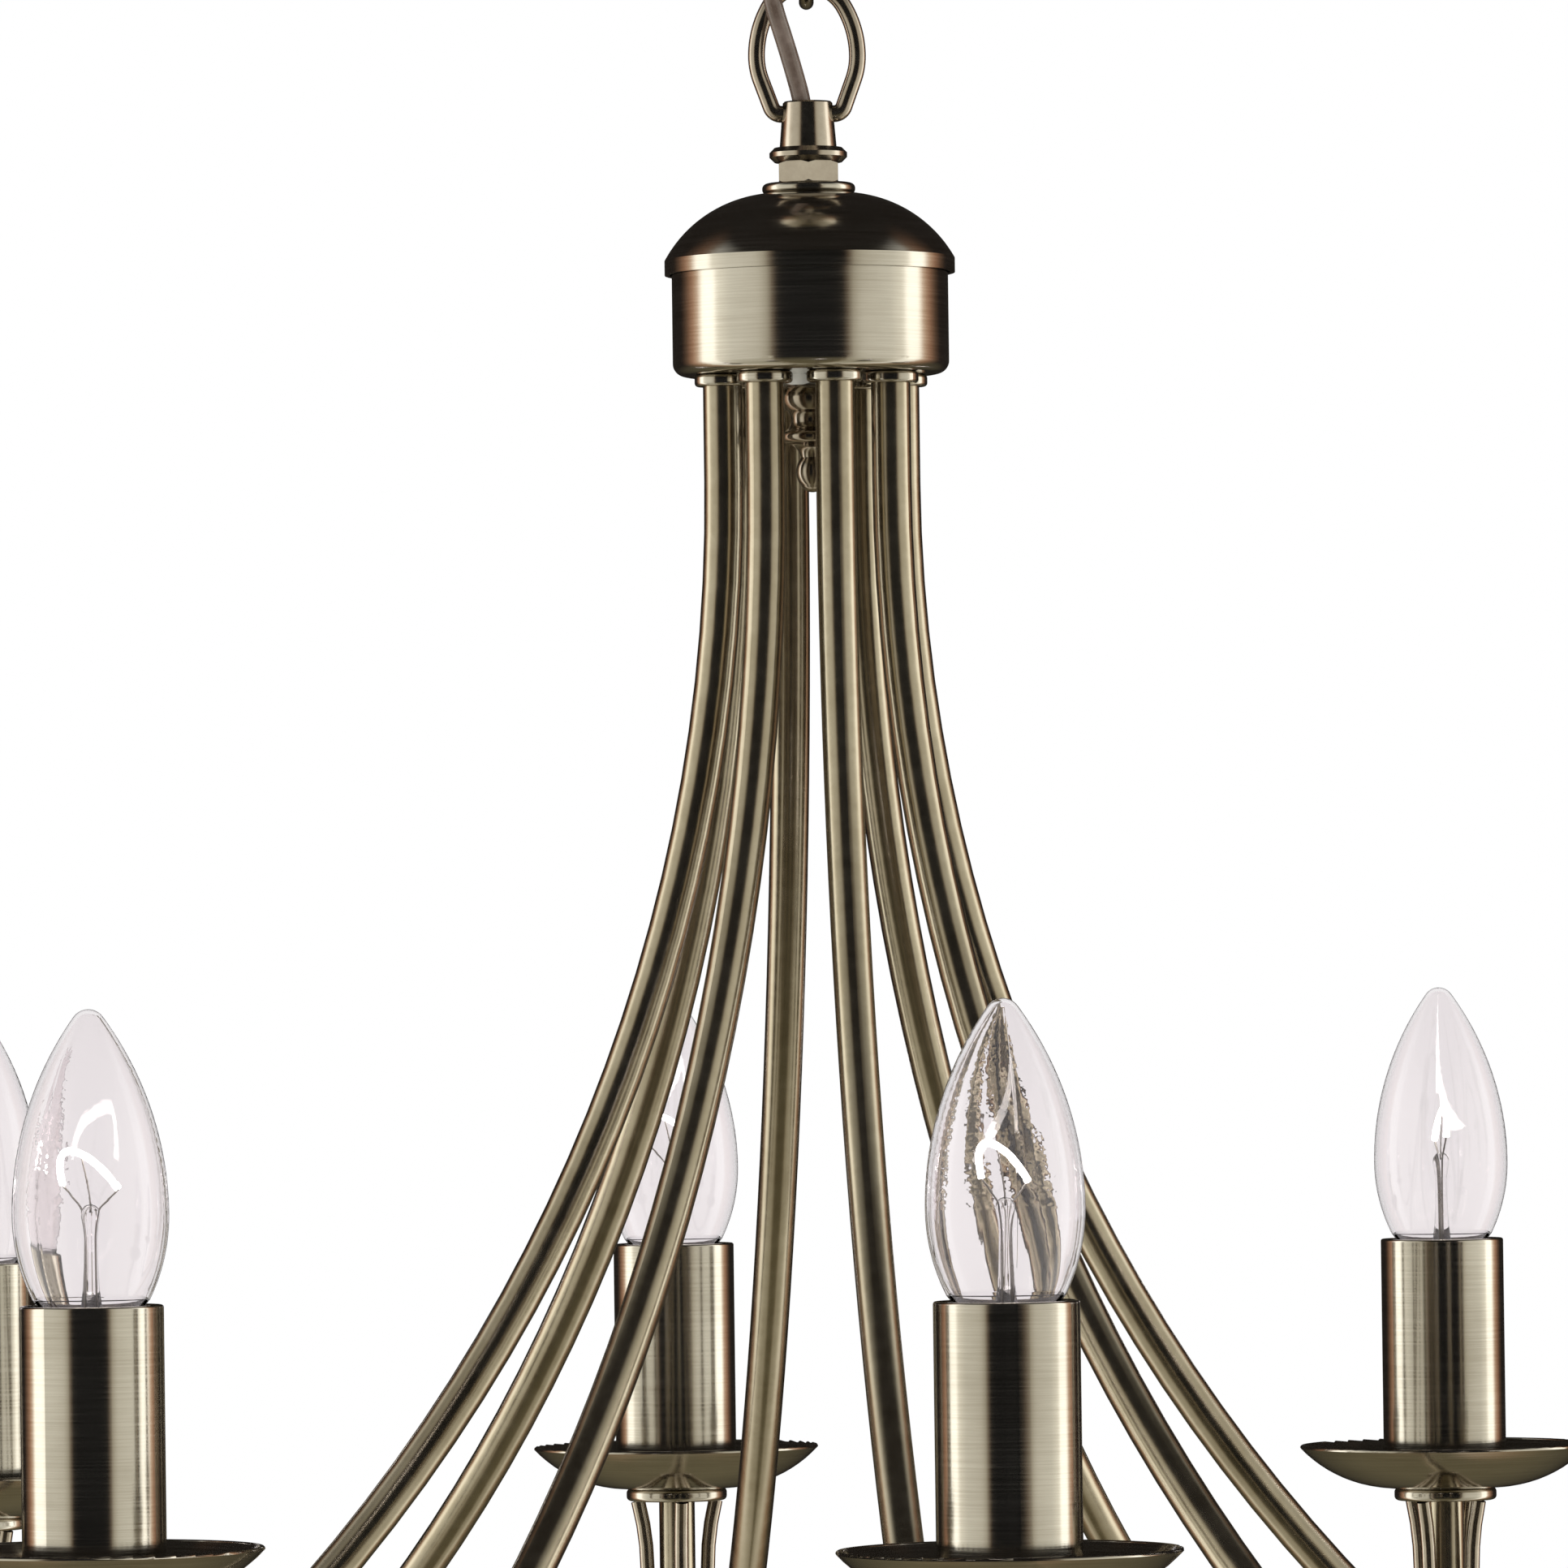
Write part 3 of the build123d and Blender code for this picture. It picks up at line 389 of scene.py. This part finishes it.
for number in LAMPS:
    low, high = (Vector(corner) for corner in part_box(f"bulb_glass_{number}"))
    axis = Vector(((low.x + high.x) / 2, (low.y + high.y) / 2, high.z - SLEEVE_BELOW_TIP))
    body = f"bulb_{number}"
    cap_top = axis - Vector((0, 0, CAP_BELOW_SLEEVE))
    across = Vector((cos(radians(FILAMENT_TURN[number])), sin(radians(FILAMENT_TURN[number])), 0))
    cap_mesh = lathe("cap", cap_profile(), cap_top)
    cap = add_mesh(f"bulb_{number}_cap", cap_mesh, MATERIALS["bulb_cap"])
    stem_points = [(radius * MM, height * MM) for radius, height in STEM]
    stem_mesh = lathe("stem", stem_points, cap_top, 28)
    stem = add_mesh(f"bulb_{number}_stem", stem_mesh, STEM_GLASS)
    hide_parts(f"bulb_base_{number}")
    arch_route = [axis + across * x * MM + Vector((0, 0, z * MM)) for x, z in ARCH]
    arch = nurbs_points("arch", arch_route, 6)
    filament_mesh = tube("filament", arch, FILAMENT_RADIUS, 12)
    filament = add_mesh(f"bulb_{number}_filament", filament_mesh, FILAMENT)
    pieces = [cap, stem, filament]
    stem_top = cap_top + Vector((0, 0, WIRES_LEAVE_STEM))
    for side, sign, end in (("left", -1, arch_route[0]), ("right", 1, arch_route[-1])):
        lead_route = [
            cap_top + across * sign * 1.1 * MM + Vector((0, 0, 1 * MM)),
            cap_top + across * sign * 0.9 * MM + Vector((0, 0, 16 * MM)),
            stem_top + across * sign * 1.0 * MM,
            stem_top.lerp(end, 0.55) + across * sign * 0.6 * MM,
            end,
        ]
        lead = nurbs_points("lead", lead_route, 5)
        lead_mesh = tube("lead", lead, LEAD_RADIUS, 8)
        pieces.append(add_mesh(f"bulb_{number}_lead_{side}", lead_mesh, LEAD_METAL))
    prop_route = [
        stem_top,
        stem_top + Vector((0, 0, 3 * MM)) + across * 0.4 * MM,
        arch_route[3] - Vector((0, 0, 0.2 * MM)),
    ]
    prop = nurbs_points("prop", prop_route, 5)
    prop_mesh = tube("prop", prop, PROP_RADIUS, 8)
    pieces.append(add_mesh(f"bulb_{number}_prop", prop_mesh, LEAD_METAL))
    for piece in pieces:
        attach(piece, body)


# ---- flex: one smooth line, cut where it passes from one link's joint to the next ----
FLEX_RADIUS = 2.2 * MM
FLEX_SIDES = 20
# the route, from its lower end up, and the heights of the cuts, in millimetres
FLEX_ROUTE = [
    (0.0, 0.0, -223.8), (0.0, 0.0, -203.8), (-4.2, -3.0, -187.8), (-9.0, -6.4, -172.8),
    (-9.6, -7.4, -158.8), (-5.4, -6.0, -138.65), (-5.4, 6.0, -110.65), (-9.6, 7.4, -90.5),
    (-9.0, 6.4, -76.5), (-4.2, 3.0, -61.5), (0.0, 0.0, -45.5), (0.0, 0.0, -25.5),
]
FLEX_CUTS = [-188.3, -158.7, -126.6, -94.6, -63.0]
flex_route = [tuple(value * MM for value in place) for place in FLEX_ROUTE]
line = nurbs_points("flex_line", flex_route, 14)
flex_parts = []
start = 0
for index, cut in enumerate(FLEX_CUTS + [None]):
    end = len(line) - 1
    if cut is not None:
        end = next(k for k, point in enumerate(line) if point.z >= cut * MM)
    stretch = line[start : end + 1]
    # one point more on each side keeps the end rings square to the line
    before = line[max(start - 1, 0)]
    after = line[min(end + 1, len(line) - 1)]
    flex_parts.append((index, stretch, before, after))
    start = end


def flex_mesh(name, stretch, before, after):
    """A stretch of the flex with open ends, whose end rings match its neighbours' rings."""
    work = bmesh.new()
    rings = []
    whole = [before] + stretch + [after]
    for position in range(1, len(whole) - 1):
        along = (whole[position + 1] - whole[position - 1]).normalized()
        side = Vector((1, 0, 0))
        side = (side - along * side.dot(along)).normalized()
        up = along.cross(side)
        rings.append([
            work.verts.new(whole[position] + FLEX_RADIUS * (cos(turn) * side + sin(turn) * up))
            for turn in (2 * pi * k / FLEX_SIDES for k in range(FLEX_SIDES))
        ])
    for low_ring, high_ring in zip(rings, rings[1:]):
        for k in range(FLEX_SIDES):
            following = (k + 1) % FLEX_SIDES
            work.faces.new((low_ring[k], low_ring[following], high_ring[following], high_ring[k]))
    bmesh.ops.recalc_face_normals(work, faces=work.faces)
    mesh = bpy.data.meshes.new(name)
    work.to_mesh(mesh)
    work.free()
    return mesh


for index, stretch, before, after in flex_parts:
    name = f"flex_part_{index + 1}"
    piece = add_mesh(name, flex_mesh(name, stretch, before, after), MATERIALS["flex_sheath"])
    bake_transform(piece)
    if index == 0:
        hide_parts("flex")


# ---- studio: a pale floor far below, white all round, and banded soft boxes for what mirrors them ----
FLOOR_HEIGHT = -2.4
FLOOR_OUTLINE = [(0, 0), (1.5, 0), (2.6, 0), (2.9, 0.02), (0, 0.03)]
floor_mesh = lathe("studio_floor", FLOOR_OUTLINE, (0, 0, FLOOR_HEIGHT), 96)
floor_material, floor_tree, floor_shader = new_material("studio_floor")
dust = floor_tree.noise(floor_tree.stretched((1, 1, 1)), 3, 4, 0.6)
floor_colour = floor_tree.ramp(dust, [(0.3, (0.80, 0.79, 0.77)), (0.7, (0.84, 0.83, 0.81))])
floor_tree.join(floor_colour, floor_shader.inputs["Base Color"])
floor_shader.inputs["Roughness"].default_value = 0.8
floor_mesh.materials.append(floor_material)
floor = bpy.data.objects.new("studio_floor", floor_mesh)
bpy.context.scene.collection.objects.link(floor)
floor.visible_glossy = False

world = bpy.data.worlds.new("studio")
bpy.context.scene.world = world
world.use_nodes = True
world.node_tree.nodes.clear()
sky = Tree(world.node_tree)
direction = sky.add("ShaderNodeTexCoord").outputs["Generated"]
parts = sky.add("ShaderNodeSeparateXYZ")
sky.join(direction, parts.inputs[0])
bearing = sky.math("ARCTAN2", parts.outputs["X"], sky.math("MULTIPLY", parts.outputs["Y"], -1.0))
bearing = sky.math("DIVIDE", sky.math("ABSOLUTE", bearing), pi)
SOFT_BOX_STRENGTH = 2.45
# bearing from the camera's side, either way round, in degrees, and the light that comes from it
BANDS = [
    (0, (0.003, 0.003, 0.003)),
    (28, (0.003, 0.003, 0.003)),
    (32, (0.09, 0.065, 0.045)),
    (36, (0.27, 0.255, 0.21)),
    (44, (0.37, 0.36, 0.315)),
    (70, (0.43, 0.425, 0.38)),
    (84, (0.58, 0.57, 0.51)),
    (89, (0.99, 0.99, 0.94)),
    (102, (0.99, 0.99, 0.94)),
    (109, (0.40, 0.29, 0.21)),
    (117, (0.22, 0.12, 0.075)),
    (127, (0.06, 0.035, 0.022)),
    (136, (0.008, 0.006, 0.005)),
    (180, (0.006, 0.005, 0.004)),
]
banded = sky.ramp(bearing, [(angle / 180, colour) for angle, colour in BANDS])
upward = sky.ranged(parts.outputs["Z"], 0.28, 0.8, 0.0, 1.0)
downward = sky.ranged(parts.outputs["Z"], -0.2, -0.8, 0.0, 0.6)
banded = sky.mixed(upward, banded, (0.006, 0.005, 0.004))
banded = sky.mixed(downward, banded, (0.13, 0.115, 0.07))
path = sky.add("ShaderNodeLightPath")
not_through_glass = sky.math("SUBTRACT", 1.0, path.outputs["Is Transmission Ray"])
mirrored = sky.math("MULTIPLY", path.outputs["Is Glossy Ray"], not_through_glass)
boxes = sky.add("ShaderNodeBackground")
boxes.inputs["Strength"].default_value = SOFT_BOX_STRENGTH
sky.join(banded, boxes.inputs["Color"])
white = sky.add("ShaderNodeBackground")
white.inputs["Color"].default_value = (1, 1, 1, 1)
white.inputs["Strength"].default_value = 1.0
chosen = sky.add("ShaderNodeMixShader")
sky.join(mirrored, chosen.inputs[0])
sky.join(white.outputs[0], chosen.inputs[1])
sky.join(boxes.outputs[0], chosen.inputs[2])
output = sky.add("ShaderNodeOutputWorld")
sky.join(chosen.outputs[0], output.inputs["Surface"])
